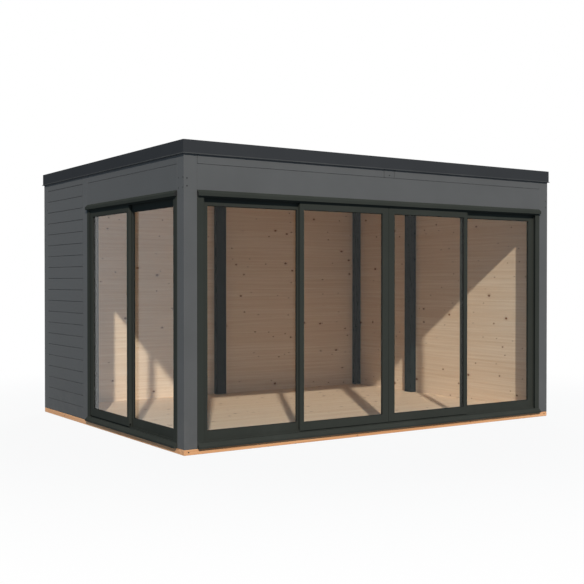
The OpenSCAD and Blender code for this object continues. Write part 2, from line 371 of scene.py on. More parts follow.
@cache
def knot_field() -> bpy.types.NodeTree:
    """Makes the effect that scatters knots over pine boards.

    Returns:
        A group with the knots' cores, their dark rings, the stain round them and the bend of the grain.
    """
    made = Effect("knot_field", ("Along", "Across", "Seed", "Share"), ("Core", "Ring", "Stain", "Bend"))
    sheet, given = made.sheet, made.given
    place = sheet.vector(
        sheet.sum("ADD", sheet.times(given["Along"], 0.72), sheet.times(given["Seed"], 23.0)),
        sheet.sum("ADD", given["Across"], sheet.times(given["Seed"], 5.3)),
    )
    cells = sheet.add("ShaderNodeTexVoronoi", voronoi_dimensions="2D", feature="F1")
    sheet.fill(cells, Vector=place, Scale=KNOTS)
    split = sheet.fill(sheet.add("ShaderNodeSeparateColor"), Color=cells.outputs["Color"])
    wobble = sheet.sum("SUBTRACT", sheet.noise(place, 60.0, 2.0), 0.5)
    far = sheet.sum("ADD", cells.outputs["Distance"], sheet.times(wobble, 0.016))
    chance = sheet.sum("POWER", split.outputs[0], 3.0)
    size = sheet.fit(chance, 0.0, 1.0, *KNOT_RADII)
    there = sheet.sum("LESS_THAN", split.outputs[1], given["Share"])

    def disc(start: Feed, reach: float, peak: float = 1.0) -> Socket:
        """Fades a peak out from a radius to so many radii of the knot."""
        return sheet.times(sheet.fit(far, start, sheet.times(size, reach), peak, 0.0), there)

    core = disc(sheet.times(size, 0.8), 1.0)
    ring = sheet.sum("SUBTRACT", disc(size, 1.25), core)
    sheet.fill(made.result, Core=core, Ring=ring, Stain=disc(size, 3.4), Bend=disc(0.0, 4.0, 0.03))
    return made.tree


@cache
def grain_figure() -> bpy.types.NodeTree:
    """Makes the effect that draws the lines and streaks of sawn timber.

    Returns:
        A group with fine lines, broad streaks and growth bands.
    """
    inputs = ("Along", "Across", "Depth", "Seed", "Bend")
    made = Effect("grain_figure", inputs, ("Lines", "Streaks", "Bands"))
    sheet, given = made.sheet, made.given
    along = sheet.sum("ADD", given["Along"], sheet.times(given["Seed"], 41.0))
    bent = sheet.sum("ADD", given["Across"], given["Bend"])
    side = sheet.sum("ADD", bent, sheet.times(given["Seed"], 3.1))
    fine, broad = (
        sheet.vector(
            sheet.times(along, stretch),
            sheet.times(side, count),
            sheet.times(given["Depth"], count),
        )
        for stretch, count in ((1.6, LINES), (0.9, STREAKS))
    )
    long = sheet.vector(sheet.times(along, 0.22), sheet.times(side, 3.2), given["Depth"])
    waves = sheet.add("ShaderNodeTexWave", wave_type="BANDS", bands_direction="Y", wave_profile="SAW")
    sheet.fill(waves, Vector=long, Scale=2.4, Distortion=7.0, Detail=2.0, Detail_Scale=1.3)
    sheet.fill(
        made.result,
        Lines=sheet.fit(sheet.noise(fine, 1.0, 3.0, 0.6), 0.35, 0.72),
        Streaks=sheet.fit(sheet.noise(broad, 1.0, 2.0, 0.5), 0.35, 0.75),
        Bands=waves.outputs["Fac"],
    )
    return made.tree


@cache
def fine_texture() -> bpy.types.NodeTree:
    """Makes the effect of a sprayed or rolled coat.

    Returns:
        A group with the fine height of the coat, its slow unevenness and a light dust.
    """
    made = Effect("fine_texture", ("X", "Y", "Z", "Scale"), ("Height", "Cloud", "Dust"))
    sheet, given = made.sheet, made.given
    place = sheet.vector(given["X"], given["Y"], given["Z"])
    scaled = sheet.add("ShaderNodeVectorMath", operation="SCALE")
    sheet.fill(scaled, Vector=place, Scale=given["Scale"])
    dust = sheet.fit(sheet.noise(place, 5.5, 6.0, 0.7), 0.42, 0.75)
    low = sheet.fit(given["Z"], 0.0, 0.55, 1.0, 0.0)
    sheet.fill(
        made.result,
        Height=sheet.noise(scaled.outputs[0], 1.0, 2.0, 0.6),
        Cloud=sheet.noise(place, 2.3, 3.0, 0.55),
        Dust=sheet.times(dust, low),
    )
    return made.tree


class Finish(Protocol):
    """A finish that can make its material."""

    name: str

    def mix(self, sheet: Sheet) -> None:
        """Draws the material on an empty sheet."""


@cache
def material(finish: Finish) -> bpy.types.Material:
    """Makes a finish's material once.

    Args:
        finish: The finish.

    Returns:
        Its material.
    """
    made = bpy.data.materials.new(finish.name)
    made.use_nodes = True
    finish.mix(Sheet(made.node_tree))
    return made


@dataclass(frozen=True)
class Timber:
    """Bare or oiled pine with lines, streaks and knots."""

    name: str
    run: Run
    pale: Colour
    line: Colour
    knot: Colour = srgb(124, 68, 32)
    rim: Colour = srgb(80, 46, 26)
    share: float = 0.55
    contrast: float = 0.55

    def mix(self, sheet: Sheet) -> None:
        """Draws pine with knots that the grain bends round.

        Args:
            sheet: The material's empty sheet.
        """
        along, across, depth = sheet.axes(self.run)
        seed = sheet.add("ShaderNodeAttribute", attribute_name=SEED).outputs["Fac"]
        knots = sheet.effect(knot_field(), Along=along, Across=across, Seed=seed, Share=self.share)
        grain = sheet.effect(
            grain_figure(), Along=along, Across=across, Depth=depth, Seed=seed, Bend=knots["Bend"]
        )
        deep = shade(self.line, 0.8)
        colour = sheet.film(grain["Streaks"], self.contrast, self.pale, self.line)
        colour = sheet.film(grain["Lines"], self.contrast * 0.6, colour, self.line)
        colour = sheet.film(grain["Bands"], self.contrast * 0.4, colour, deep)
        colour = sheet.film(seed, 0.3, colour, self.line)
        colour = sheet.film(knots["Stain"], 0.4, colour, deep)
        colour = sheet.film(knots["Ring"], 0.7, colour, self.rim)
        colour = sheet.blend(knots["Core"], colour, self.knot)
        height = sheet.sum("SUBTRACT", sheet.times(grain["Lines"], -0.6), knots["Ring"])
        sheet.surface(
            Base_Color=colour,
            Roughness=sheet.fit(grain["Lines"], 0.0, 1.0, 0.5, 0.64),
            Specular_IOR_Level=0.2,
            Normal=sheet.bump(height, 0.0005, 0.6),
        )


@dataclass(frozen=True)
class BoardPaint:
    """Opaque wood paint that lets a little of the grain show."""

    name: str
    run: Run
    tone: Colour
    dust: Colour = srgb(150, 146, 138)

    def mix(self, sheet: Sheet) -> None:
        """Draws a rolled coat over fine grain.

        Args:
            sheet: The material's empty sheet.
        """
        along, across, depth = sheet.axes(self.run)
        seed = sheet.add("ShaderNodeAttribute", attribute_name=SEED).outputs["Fac"]
        grain = sheet.effect(grain_figure(), Along=along, Across=across, Depth=depth, Seed=seed, Bend=0.0)
        coat = sheet.coat(420.0)
        darker = shade(self.tone, 0.86)
        colour = sheet.blend(coat["Cloud"], darker, shade(self.tone, 1.14))
        colour = sheet.film(seed, 0.25, colour, darker)
        colour = sheet.film(grain["Lines"], 0.16, colour, darker)
        colour = sheet.film(coat["Dust"], 0.1, colour, self.dust)
        height = sheet.sum(
            "ADD", sheet.times(grain["Lines"], 0.55), sheet.times(coat["Height"], 0.35)
        )
        sheet.surface(
            Base_Color=colour,
            Roughness=sheet.fit(coat["Cloud"], 0.2, 0.8, 0.52, 0.66),
            Specular_IOR_Level=0.02,
            Normal=sheet.bump(height, 0.00035, 0.5),
        )


@dataclass(frozen=True)
class PowderCoat:
    """Matt powder coat of metal frames and trims."""

    name: str
    tone: Colour
    # Strength of the pale film on upward faces, which is partly dust and partly a painted highlight.
    dust: float
    rough: float = 0.46
    splash: float = 0.025
    dust_and_highlight_tone: Colour = srgb(128, 126, 118)

    def mix(self, sheet: Sheet) -> None:
        """Draws a fine orange peel with a pale film on what looks up, partly dust and partly a painted
        highlight where upward faces catch the light, and splashes near the ground.

        Args:
            sheet: The material's empty sheet.
        """
        coat = sheet.coat(1100.0)
        lighter = shade(self.tone, 1.12)
        colour = sheet.blend(coat["Cloud"], shade(self.tone, 0.88), lighter)
        colour = sheet.blend(sheet.fit(coat["Height"], 0.56, 0.75, 0.0, 0.3), colour, lighter)
        normal = sheet.add("ShaderNodeNewGeometry").outputs["Normal"]
        split = sheet.fill(sheet.add("ShaderNodeSeparateXYZ"), Vector=normal)
        # Pale film on faces that look up: partly real dust, partly a painted highlight, strongest on the
        # trims' drip lips.
        upward_dust_and_highlight = sheet.fit(split.outputs["Z"], 0.4, 0.8)
        film = sheet.times(sheet.times(upward_dust_and_highlight, coat["Cloud"]), self.dust)
        film = sheet.sum("ADD", film, sheet.times(coat["Dust"], self.splash))
        sheet.surface(
            Base_Color=sheet.blend(film, colour, self.dust_and_highlight_tone),
            Roughness=sheet.fit(coat["Cloud"], 0.2, 0.8, self.rough - 0.06, self.rough + 0.08),
            Specular_IOR_Level=0.0,
            Normal=sheet.bump(coat["Height"], 0.00006, 0.25),
        )


@dataclass(frozen=True)
class Glass:
    """Clear glass unit of a door leaf."""

    name: str
    tint: Colour = (0.93, 0.95, 0.945)
    shadow: Colour = (0.84, 0.85, 0.845)
    bend: float = 1.24

    def mix(self, sheet: Sheet) -> None:
        """Draws clear glass that lets lamps shine into the room.

        Args:
            sheet: The material's empty sheet.
        """
        coat = sheet.coat(3.0)
        shader = sheet.surface(
            Base_Color=sheet.blend(coat["Cloud"], self.tint, shade(self.tint, 0.985)),
            Roughness=0.0,
            IOR=self.bend,
            Transmission_Weight=1.0,
        )
        clear = sheet.fill(sheet.add("ShaderNodeBsdfTransparent"), Color=self.shadow)
        sheet.pick(sheet.add("ShaderNodeLightPath").outputs["Is Shadow Ray"], shader, clear)


@dataclass(frozen=True)
class DullSkin:
    """Dull skin with a fine grain, such as rubber, roofing sheet or blackened steel."""

    name: str
    tone: Colour
    grains: float
    layer: Layer
    ends: tuple[float, float]
    rough: tuple[float, float]
    relief: tuple[float, float]
    share: float = 1.0
    speck: float = 0.0
    gloss: float = 0.25
    metal: float = 0.0

    def mix(self, sheet: Sheet) -> None:
        """Draws an uneven tone, with pale specks of grit if it has any.

        Args:
            sheet: The material's empty sheet.
        """
        coat = sheet.coat(self.grains)
        first, second = (shade(self.tone, end) for end in self.ends)
        colour = sheet.film(coat[self.layer.value], self.share, first, second)
        if self.speck:
            grit = sheet.fit(coat["Height"], 0.5, 0.72, 0.0, 0.5)
            colour = sheet.blend(grit, colour, shade(self.tone, self.speck))
        sheet.surface(
            Base_Color=colour,
            Metallic=self.metal,
            Specular_IOR_Level=self.gloss,
            Roughness=sheet.fit(coat["Height"], 0.3, 0.7, *self.rough),
            Normal=sheet.bump(coat["Height"], *self.relief),
        )


PAINT_TONE = srgb(89, 89, 89)
PINE_PALE = srgb(241, 219, 195)
PINE_LINE = srgb(219, 185, 151)
OILED_PALE = srgb(226, 172, 126)
OILED_LINE = srgb(190, 126, 78)
GLASS = Glass("door_glass")
FRAMES = PowderCoat("dark_frame_coat", srgb(53, 55, 51), dust=0.02)
# The trims' high dust value is partly a painted highlight on their upward faces, such as the drip lip.
TRIMS = PowderCoat("dark_trim_coat", srgb(55, 56, 58), dust=0.28, rough=0.4)
INNER_POST = PowderCoat("dark_inner_post", srgb(18, 31, 31), dust=0.05, rough=0.5)
RUBBER = DullSkin(
    "glazing_rubber", srgb(24, 25, 25), 700.0, Layer.CLOUD,
    ends=(1.0, 2.0), rough=(0.6, 0.8), relief=(0.0001, 0.4), share=0.5,
)
SCREWS = DullSkin(
    "dark_screws", srgb(26, 27, 27), 900.0, Layer.HEIGHT,
    ends=(0.6, 1.0), rough=(0.35, 0.55), relief=(0.00005, 0.4), gloss=0.1, metal=0.25,
)
ROOF = DullSkin(
    "roof_sheet", srgb(58, 60, 61), 520.0, Layer.CLOUD,
    ends=(0.7, 1.0), rough=(0.75, 0.9), relief=(0.0007, 0.7), speck=1.8,
)


def paint(run: Run) -> BoardPaint:
    """Gives the grey wood paint for a grain direction."""
    return BoardPaint(f"grey_paint_{run.name.lower()}", run, PAINT_TONE)


def pine(run: Run) -> Timber:
    """Gives the bare pine for a grain direction."""
    return Timber(f"bare_pine_{run.name.lower()}", run, PINE_PALE, PINE_LINE)


def bearer(run: Run) -> Timber:
    """Gives the oiled bearer timber for a grain direction."""
    return Timber(f"bearer_pine_{run.name.lower()}", run, OILED_PALE, OILED_LINE, share=0.4)


def ease(bm: Mesh, edges: list[bmesh.types.BMEdge], width: float, segments: int = 2) -> None:
    """Rounds or chamfers edges.

    Args:
        bm: The mesh.
        edges: The edges.
        width: Width of the chamfer.
        segments: Number of facets.
    """
    bmesh.ops.bevel(
        bm, geom=edges, offset=width, offset_type="OFFSET", affect="EDGES",
        segments=segments, profile=0.5, material=-1, clamp_overlap=True,
    )


def bar(bm: Mesh, low: Vector, high: Vector) -> None:
    """Adds a straight bar between two corners.

    Args:
        bm: The mesh that it joins.
        low: Lowest corner.
        high: Highest corner.
    """
    made = bmesh.ops.create_cube(bm, size=1.0)["verts"]
    bmesh.ops.scale(bm, vec=high - low, verts=made)
    bmesh.ops.translate(bm, vec=(high + low) / 2, verts=made)


def span(corners: Iterable[Vector], turn: Matrix = Matrix.Identity(4)) -> tuple[Vector, Vector]:
    """Gives the lowest and the highest corner of the box round a few corners after a turn."""
    turned = [turn @ corner for corner in corners]
    return Vector(map(min, *turned)), Vector(map(max, *turned))


def extrude(bm: Mesh, faces: list[bmesh.types.BMFace]) -> list[bmesh.types.BMVert]:
    """Grows a copy of faces on sides that join it to them, and gives its vertices."""
    grown = bmesh.ops.extrude_face_region(bm, geom=faces)["geom"]
    return [part for part in grown if isinstance(part, bmesh.types.BMVert)]


def sweep(bm: Mesh, profile: list[tuple[float, float]], start: float, end: float, place: Matrix) -> None:
    """Draws a profile out along a wall.

    Args:
        bm: The mesh that it joins.
        profile: Corners as depth and height.
        start: Where it starts along the wall.
        end: Where it ends.
        place: Turn from wall sizes to the row frame.
    """
    ring = [bm.verts.new((start, depth, height)) for depth, height in profile]
    moved = extrude(bm, [bm.faces.new(ring)])
    bmesh.ops.translate(bm, vec=(end - start, 0, 0), verts=moved)
    bmesh.ops.transform(bm, matrix=place, verts=ring + moved)


def close_up(bm: Mesh) -> None:
    """Closes open ends and turns all faces outwards.

    Args:
        bm: The mesh.
    """
    rims = [edge for edge in bm.edges if edge.is_boundary]
    if rims:
        bmesh.ops.holes_fill(bm, edges=rims, sides=0)
    bmesh.ops.recalc_face_normals(bm, faces=bm.faces[:])


def piece(
    name: str, bm: Mesh, finishes: list[Finish], body: str = HOUSE, stands_for: str = ""
) -> None:
    """Turns a mesh into a piece of the house.

    Args:
        name: Name of the piece.
        bm: Its mesh, which is used up.
        finishes: Its finishes, by the faces' material numbers.
        body: Body that it moves with.
        stands_for: CAD node that it replaces.
    """
    mesh = bpy.data.meshes.new(name)
    bm.to_mesh(mesh)
    bm.free()
    for finish in finishes:
        mesh.materials.append(material(finish))
    made = bpy.data.objects.new(name, mesh)
    bpy.context.scene.collection.objects.link(made)
    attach(made, body)
    if stands_for:
        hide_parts(stands_for)
    LOG.info("%s: %d faces on %s", name, len(mesh.polygons), body)


def coat_node(node: str, finish: Finish, edge: float = 0.0) -> None:
    """Gives a CAD node its finish and eased edges.

    Args:
        node: Name of the node.
        finish: Its finish.
        edge: Width of the eased edges, or 0 for sharp ones.
    """
    carried = frame["nodes"][node]
    for slot in carried.material_slots:
        slot.material = material(finish)
    if edge:
        weld = carried.modifiers.new("joined", "WELD")
        weld.merge_threshold = WELD
        bevel = carried.modifiers.new("eased", "BEVEL")
        bevel.width = edge
        bevel.segments = 2
        bevel.limit_method = "ANGLE"
        bevel.angle_limit = EASED
        bevel.use_clamp_overlap = False
        weighted = carried.modifiers.new("shaded", "WEIGHTED_NORMAL")
        weighted.weight = 100
    LOG.info("%s keeps its CAD shape with %s", node, finish.name)


@dataclass
class BoardWall:
    """Wall of lying boards, grey outside and bare inside."""

    node: str
    side: Side
    pitch: float = 0.1144
    gap: float = 0.0045
    gap_depth: float = 0.009
    chamfer: float = 0.0018

    def build(self) -> Mesh:
        """Draws each board with a shadow gap under its outer face.

        Returns:
            The wall's mesh.
        """
        place = self.side.place()
        back = place.inverted()
        low, high = span(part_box(self.node), back)
        edge, thick = self.chamfer, high.y
        bm = bmesh.new()
        for index in range(round((high.z - low.z) / self.pitch)):
            z0 = low.z + index * self.pitch
            z1 = z0 + self.pitch
            sweep(bm, [
                (0.0, z0 + self.gap),
                (0.0, z1 - edge),
                (edge, z1),
                (thick - edge, z1),
                (thick, z1 - edge),
                (thick, z0 + edge),
                (thick - edge, z0),
                (self.gap_depth, z0),
                (self.gap_depth, z0 + self.gap),
            ], low.x, high.x, place)
        close_up(bm)
        seeds = bm.faces.layers.float.new(SEED)
        salt = sum(map(ord, self.node)) / 97
        for face in bm.faces:
            at = back @ face.calc_center_median()
            face[seeds] = shuffle(int((at.z - low.z) / self.pitch), salt)
            face.material_index = int(at.y > thick * INSIDE)
        return bm

    def dress(self) -> None:
        """Makes the wall in grey paint and bare pine."""
        finishes = [paint(self.side.grain()), pine(self.side.grain())]
        piece(f"{self.node}_boards", self.build(), finishes, stands_for=self.node)


@dataclass
class Upright:
    """Square post, grey on the outside of the house and dark inside it."""

    node: str
    edge: float = 0.0025

    def build(self) -> Mesh:
        """Draws the post with eased edges.

        Returns:
            The post's mesh.
        """
        low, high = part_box(self.node)
        bm = bmesh.new()
        bar(bm, low, high)
        ease(bm, bm.edges[:], self.edge)
        for face in bm.faces:
            at = face.calc_center_median()
            outside = abs(at.x) > CAD_WALL.x - self.edge or abs(at.y) > CAD_WALL.y - self.edge
            face.material_index = 0 if outside else 1
        return bm

    def dress(self) -> None:
        """Makes the post in grey paint and dark coat."""
        finishes = [paint(Run.Z), INNER_POST]
        piece(f"{self.node}_timber", self.build(), finishes, stands_for=self.node)


@dataclass
class Lintel:
    """Beam, rim board or block over a door, with an eased joint to the next one."""

    node: str
    side: Side
    edge: float = 0.002
    gap: float = 0.0
    gap_depth: float = 0.012
    gap_edge: float = 0.4

    def build(self) -> Mesh:
        """Draws each solid of the node as an eased bar, with a shadow gap under it if it has one.

        Returns:
            The mesh.
        """
        bm = bmesh.new()
        place = self.side.place()
        back = place.inverted()
        for box in solid_boxes(self.node):
            low, high = span(box, back)
            profile = [(low.y, low.z + self.gap), (low.y, high.z), (high.y, high.z), (high.y, low.z)]
            if self.gap:
                inner = low.y + self.gap_depth
                profile += [(inner, low.z), (inner, low.z + self.gap)]
            sweep(bm, profile, low.x + self.gap, high.x - self.gap, place)
        close_up(bm)
        ease(bm, bm.edges[:], min(self.edge, self.gap * self.gap_edge) if self.gap else self.edge)
        thick = span(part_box(self.node), back)[1].y
        seeds = bm.faces.layers.float.new(SEED)
        for face in bm.faces:
            at = back @ face.calc_center_median()
            face.material_index = int(at.y > thick * INSIDE)
            face[seeds] = shuffle(len(self.node), at.z * 0.01)
        return bm

    def dress(self) -> None:
        """Makes the beam in grey paint and bare pine."""
        finishes = [paint(self.side.grain()), pine(self.side.grain())]
        piece(f"{self.node}_timber", self.build(), finishes, stands_for=self.node)


def merged_copy(node: str) -> Mesh:
    """Copies a CAD node's mesh and joins its loose triangles.

    Args:
        node: Name of the node.

    Returns:
        The joined mesh with flat faces.
    """
    bm = bmesh.new()
    bm.from_mesh(frame["nodes"][node].data)
    bmesh.ops.remove_doubles(bm, verts=bm.verts[:], dist=WELD)
    bmesh.ops.dissolve_limit(bm, angle_limit=FLAT, verts=bm.verts[:], edges=bm.edges[:])
    return bm


def island(vert: bmesh.types.BMVert) -> set[bmesh.types.BMVert]:
    """Gathers the vertices that hang together with one.

    Args:
        vert: A vertex of the island.

    Returns:
        The island's vertices.
    """
    todo, seen = [vert], set()
    while todo:
        at = todo.pop()
        if at not in seen:
            seen.add(at)
            todo += [edge.other_vert(at) for edge in at.link_edges]
    return seen


def solid_boxes(node: str) -> list[tuple[Vector, Vector]]:
    """Finds the box of each separate solid in a CAD node.

    Args:
        node: Name of the node.

    Returns:
        Lowest and highest corner of each solid.
    """
    bm = merged_copy(node)
    seen, boxes = set(), []
    for vert in bm.verts:
        if vert not in seen:
            part = island(vert)
            seen |= part
            boxes.append(span([member.co for member in part]))
    bm.free()
    return boxes


@dataclass
class BoardFloor:
    """Floor of pine boards that lie along the front."""

    node: str = "floor"
    pitch: float = 0.114
    edge: float = 0.0012

    def build(self) -> Mesh:
        """Cuts the floor into boards.

        Returns:
            The floor's mesh.
        """
        low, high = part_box(self.node)
        cut = bpy.data.meshes.new("floor_cut")
        bm = bmesh.new()
        count = round((high.y - low.y) / self.pitch)
        step = (high.y - low.y) / count
        for index in range(count):
            strip = merged_copy(self.node)
            for y, sign in ((low.y + index * step, -1), (low.y + (index + 1) * step, 1)):
                if low.y + LEVEL < y < high.y - LEVEL:
                    bmesh.ops.bisect_plane(
                        strip, geom=strip.verts[:] + strip.edges[:] + strip.faces[:],
                        plane_co=(0, y, 0), plane_no=(0, sign, 0), clear_outer=True,
                    )
            close_up(strip)
            strip.to_mesh(cut)
            strip.free()
            bm.from_mesh(cut)
        bpy.data.meshes.remove(cut)
        tops = [
            edge for edge in bm.edges
            if all(vert.co.z > high.z - LEVEL for vert in edge.verts) and edge.calc_face_angle(0.0) > SHARP
        ]
        ease(bm, tops, self.edge, 1)
        seeds = bm.faces.layers.float.new(SEED)
        for face in bm.faces:
            face[seeds] = shuffle(int((face.calc_center_median().y - low.y) / self.pitch), 3.0)
        return bm

    def dress(self) -> None:
        """Makes the floor in bare pine."""
        piece("floor_boards", self.build(), [pine(Run.FLOOR)], stands_for=self.node)


@dataclass
class Base:
    """Ground bearers under the walls and the floor."""

    edge: float = 0.003

    def dress(self) -> None:
        """Gives the bearers their oiled timber."""
        for node, run in (("bearer_front", Run.X), ("bearer_rear", Run.X), ("cross_bearers", Run.Y)):
            coat_node(node, bearer(run), self.edge)


@dataclass
class Roof:
    """Flat roof: ledger, joists, deck, sheet with lap seams, and metal trims."""

    lap: float = 0.08
    lap_t: float = 0.0018
    lap_pitch: float = 1.0
    lap_edge: float = 0.6
    kerb: float = 0.06
    sheet_t: float = 0.004
    slack: float = 0.0002
    timber_edge: float = 0.002
    sheet_edge: float = 0.003
    trim_edge: float = 0.0008

    def seams(self) -> Mesh:
        """Draws the welded laps of the roof sheet.

        Returns:
            The laps' mesh.
        """
        low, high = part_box("roof_membrane")
        foot = low.z + self.sheet_t
        inset = self.kerb + self.slack
        room = high.x - low.x - 2 * self.kerb
        bm = bmesh.new()
        count = round(room / self.lap_pitch)
        for index in range(1, count):
            x = low.x + self.kerb + index * room / count
            bar(
                bm,
                Vector((x - self.lap / 2, low.y + inset, foot)),
                Vector((x + self.lap / 2, high.y - inset, foot + self.lap_t)),
            )
        tops = [edge for edge in bm.edges if all(vert.co.z > foot + self.lap_t / 2 for vert in edge.verts)]
        ease(bm, tops, self.lap_t * self.lap_edge, 1)
        return bm

    def dress(self) -> None:
        """Gives the roof's nodes their finishes and adds the laps."""
        coat_node("ledger", pine(Run.X), self.timber_edge)
        coat_node("roof_joists", pine(Run.Y), self.timber_edge)
        coat_node("roof_deck", pine(Run.FLOOR))
        coat_node("roof_membrane", ROOF, self.sheet_edge)
        piece("roof_sheet_laps", self.seams(), [ROOF])
        for side in ("front", "left", "right", "rear"):
            coat_node(f"trim_{side}", TRIMS, self.trim_edge)


@dataclass(frozen=True)
class ScrewHead:
    """Round screw head with a dished middle, its parts as shares of radius and height."""

    radius: float
    proud: float
    facets: int = 20
    rim: float = 0.18
    slope: float = 0.4
    dish: float = 0.8

    def add(self, bm: Mesh, at: Vector, out: Vector) -> None:
        """Adds a head to a mesh.

        Args:
            bm: The mesh that it joins.
            at: Middle of the head on the surface.
            out: Direction that the head looks in.
        """
        ring = bmesh.ops.create_circle(bm, cap_ends=True, segments=self.facets, radius=self.radius)["verts"]
        top = extrude(bm, [ring[0].link_faces[0]])
        bmesh.ops.translate(bm, vec=(0, 0, self.proud), verts=top)
        face = next(face for face in top[0].link_faces if set(face.verts) == set(top))
        for share in (self.rim, self.slope):
            bmesh.ops.inset_region(bm, faces=[face], thickness=self.radius * share)
        bmesh.ops.translate(bm, vec=(0, 0, -self.proud * self.dish), verts=face.verts)
        turn = out.to_track_quat("Z", "Y").to_matrix().to_4x4()
        bmesh.ops.transform(bm, matrix=Matrix.Translation(at) @ turn, verts=list(island(ring[0])))


@dataclass
class Leaf:
    """Leaf of a door with its glass and the rubbers that hold it."""

    node: str
    side: Side
    slim_end: SlimEnd
    edge: float = 0.0015
    width: float = 0.0035
    height: float = 0.003
    lift: float = 0.0002
    rubber_edge: float = 0.0012
    plug_up: float = 0.027
    plug_head: ScrewHead = ScrewHead(radius=0.006, proud=0.0008)

    def rubbers(self) -> Mesh:
        """Draws a rubber frame on each face of the glass.

        Returns:
            The rubbers' mesh.
        """
        place = self.side.place()
        low, high = span(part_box(f"{self.node}_glass"), place.inverted())
        bite = Vector((BITE, 0, BITE))
        low, high = low + bite, high - bite
        middle, size = (low + high) / 2, high - low
        bm = bmesh.new()
        for depth, way in ((low.y - self.lift, -1.0), (high.y + self.lift, 1.0)):
            flat = bmesh.ops.create_grid(bm, x_segments=1, y_segments=1, size=0.5)["verts"]
            face = flat[0].link_faces[0]
            move = Matrix.Translation((middle.x, depth, middle.z))
            turn = Matrix.Rotation(math.radians(90), 4, "X")
            grow = Matrix.Diagonal((size.x, size.z, 1, 1))
            bmesh.ops.transform(bm, matrix=move @ turn @ grow, verts=flat)
            ring = bmesh.ops.inset_region(
                bm, faces=[face], thickness=self.width, use_even_offset=True, use_boundary=True
            )["faces"]
            bmesh.ops.delete(bm, geom=[face], context="FACES")
            lifted = extrude(bm, ring)
            bmesh.ops.translate(bm, vec=(0, way * self.height, 0), verts=lifted)
            crest = set(lifted)
            rims = [
                edge for edge in bm.edges
                if crest.issuperset(edge.verts) and edge.calc_face_angle(0.0) > SHARP
            ]
            ease(bm, rims, self.rubber_edge)
        bmesh.ops.transform(bm, matrix=place, verts=bm.verts[:])
        close_up(bm)
        return bm

    def plug(self) -> Mesh:
        """Draws the dished plug over the wheel's set screw in the slim end of a sliding leaf.

        Returns:
            The plug's mesh.
        """
        place = self.side.place()
        low, high = span(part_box(self.node), place.inverted())
        end = high.x if self.slim_end is SlimEnd.FAR else low.x
        at = Vector((end, (low.y + high.y) / 2, low.z + self.plug_up))
        bm = bmesh.new()
        self.plug_head.add(bm, place @ at, place.to_3x3() @ Vector((self.slim_end.value, 0, 0)))
        close_up(bm)
        return bm

    def dress(self) -> None:
        """Gives the leaf its coat, its glass, its rubbers and its plug."""
        coat_node(self.node, FRAMES, self.edge)
        coat_node(f"{self.node}_glass", GLASS)
        frame["nodes"][f"{self.node}_glass"].visible_diffuse = False
        body = frame["nodes"][self.node]["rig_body"]
        piece(f"{self.node}_rubbers", self.rubbers(), [RUBBER], body)
        if self.slim_end is not SlimEnd.NONE:
            piece(f"{self.node}_plug", self.plug(), [RUBBER], body)


@dataclass
class SlidingDoor:
    """Door frame with its leaves and the slim end of each one."""

    name: str
    side: Side
    leaves: dict[str, SlimEnd]
    edge: float = 0.001
    stop_t: float = 0.0015
    stop_edge: float = 0.3
    stop_off: float = 0.0001
    stop_back: float = -0.0004
    stop_drop: float = 0.001

    def end_stops(self) -> Mesh:
        """Draws the black plates that close the ends of the head's cap.

        Returns:
            The plates' mesh.
        """
        place = self.side.place()
        back = place.inverted()
        head = frame["nodes"][f"{self.name}_head"].data
        corners = [back @ vert.co for vert in head.vertices]
        low, high = span(corners)
        levels = [corner.z for corner in corners if corner.y < low.y + LEVEL]
        profile = [
            (self.stop_back, high.z - self.stop_drop),
            (low.y, max(levels)),
            (low.y, min(levels)),
            (self.stop_back, min(levels)),
        ]
        bm = bmesh.new()
        for end, way in ((low.x, -1), (high.x, 1)):
            sweep(bm, profile, end + way * self.stop_off, end + way * self.stop_t, place)
        close_up(bm)
        ease(bm, bm.edges[:], self.stop_t * self.stop_edge, 1)
        return bm

    def dress(self) -> None:
        """Gives the frame its coat and its end plates, and dresses each leaf."""
        for part in ("head", "sill", "jambs"):
            coat_node(f"{self.name}_{part}", FRAMES, self.edge)
        piece(f"{self.name}_head_stops", self.end_stops(), [RUBBER])
        for leaf, slim_end in self.leaves.items():
            Leaf(leaf, self.side, slim_end).dress()


@dataclass
class Fixings:
    """Screws at the heads of the corner posts, in the front bearer's ends and in the rim block."""

    head: ScrewHead = ScrewHead(radius=0.0055, proud=0.0007)
    face_inset: float = 0.028
    face_levels: tuple[float, float] = (2.213, 2.151)
    side_insets: tuple[float, float] = (0.016, 0.094)
    side_levels: tuple[float, float] = (2.221, 2.14)
    bearer_inset: float = 0.04
    bearer_level: float = 0.024
    block_x: float = 0.003
    block_level: float = 2.356

    def build(self) -> Mesh:
        """Places the screws on the outer faces of the timbers.

        Returns:
            The screws' mesh.
        """
        bm = bmesh.new()
        wall, front = CAD_WALL, Vector((0, -1, 0))
        bearer_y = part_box("bearer_front")[0].y
        for sx in (-1, 1):
            for sy in (-1, 1):
                for z in self.face_levels:
                    at = Vector((sx * (wall.x - self.face_inset), sy * wall.y, z))
                    self.head.add(bm, at, Vector((0, sy, 0)))
                for inset in self.side_insets:
                    for z in self.side_levels:
                        at = Vector((sx * wall.x, sy * (wall.y - inset), z))
                        self.head.add(bm, at, Vector((sx, 0, 0)))
            at = Vector((sx * (wall.x - self.bearer_inset), bearer_y, self.bearer_level))
            self.head.add(bm, at, front)
        self.head.add(bm, Vector((self.block_x, -wall.y, self.block_level)), front)
        close_up(bm)
        return bm

    def dress(self) -> None:
        """Makes the screws in dark steel."""
        piece("post_screws", self.build(), [SCREWS])


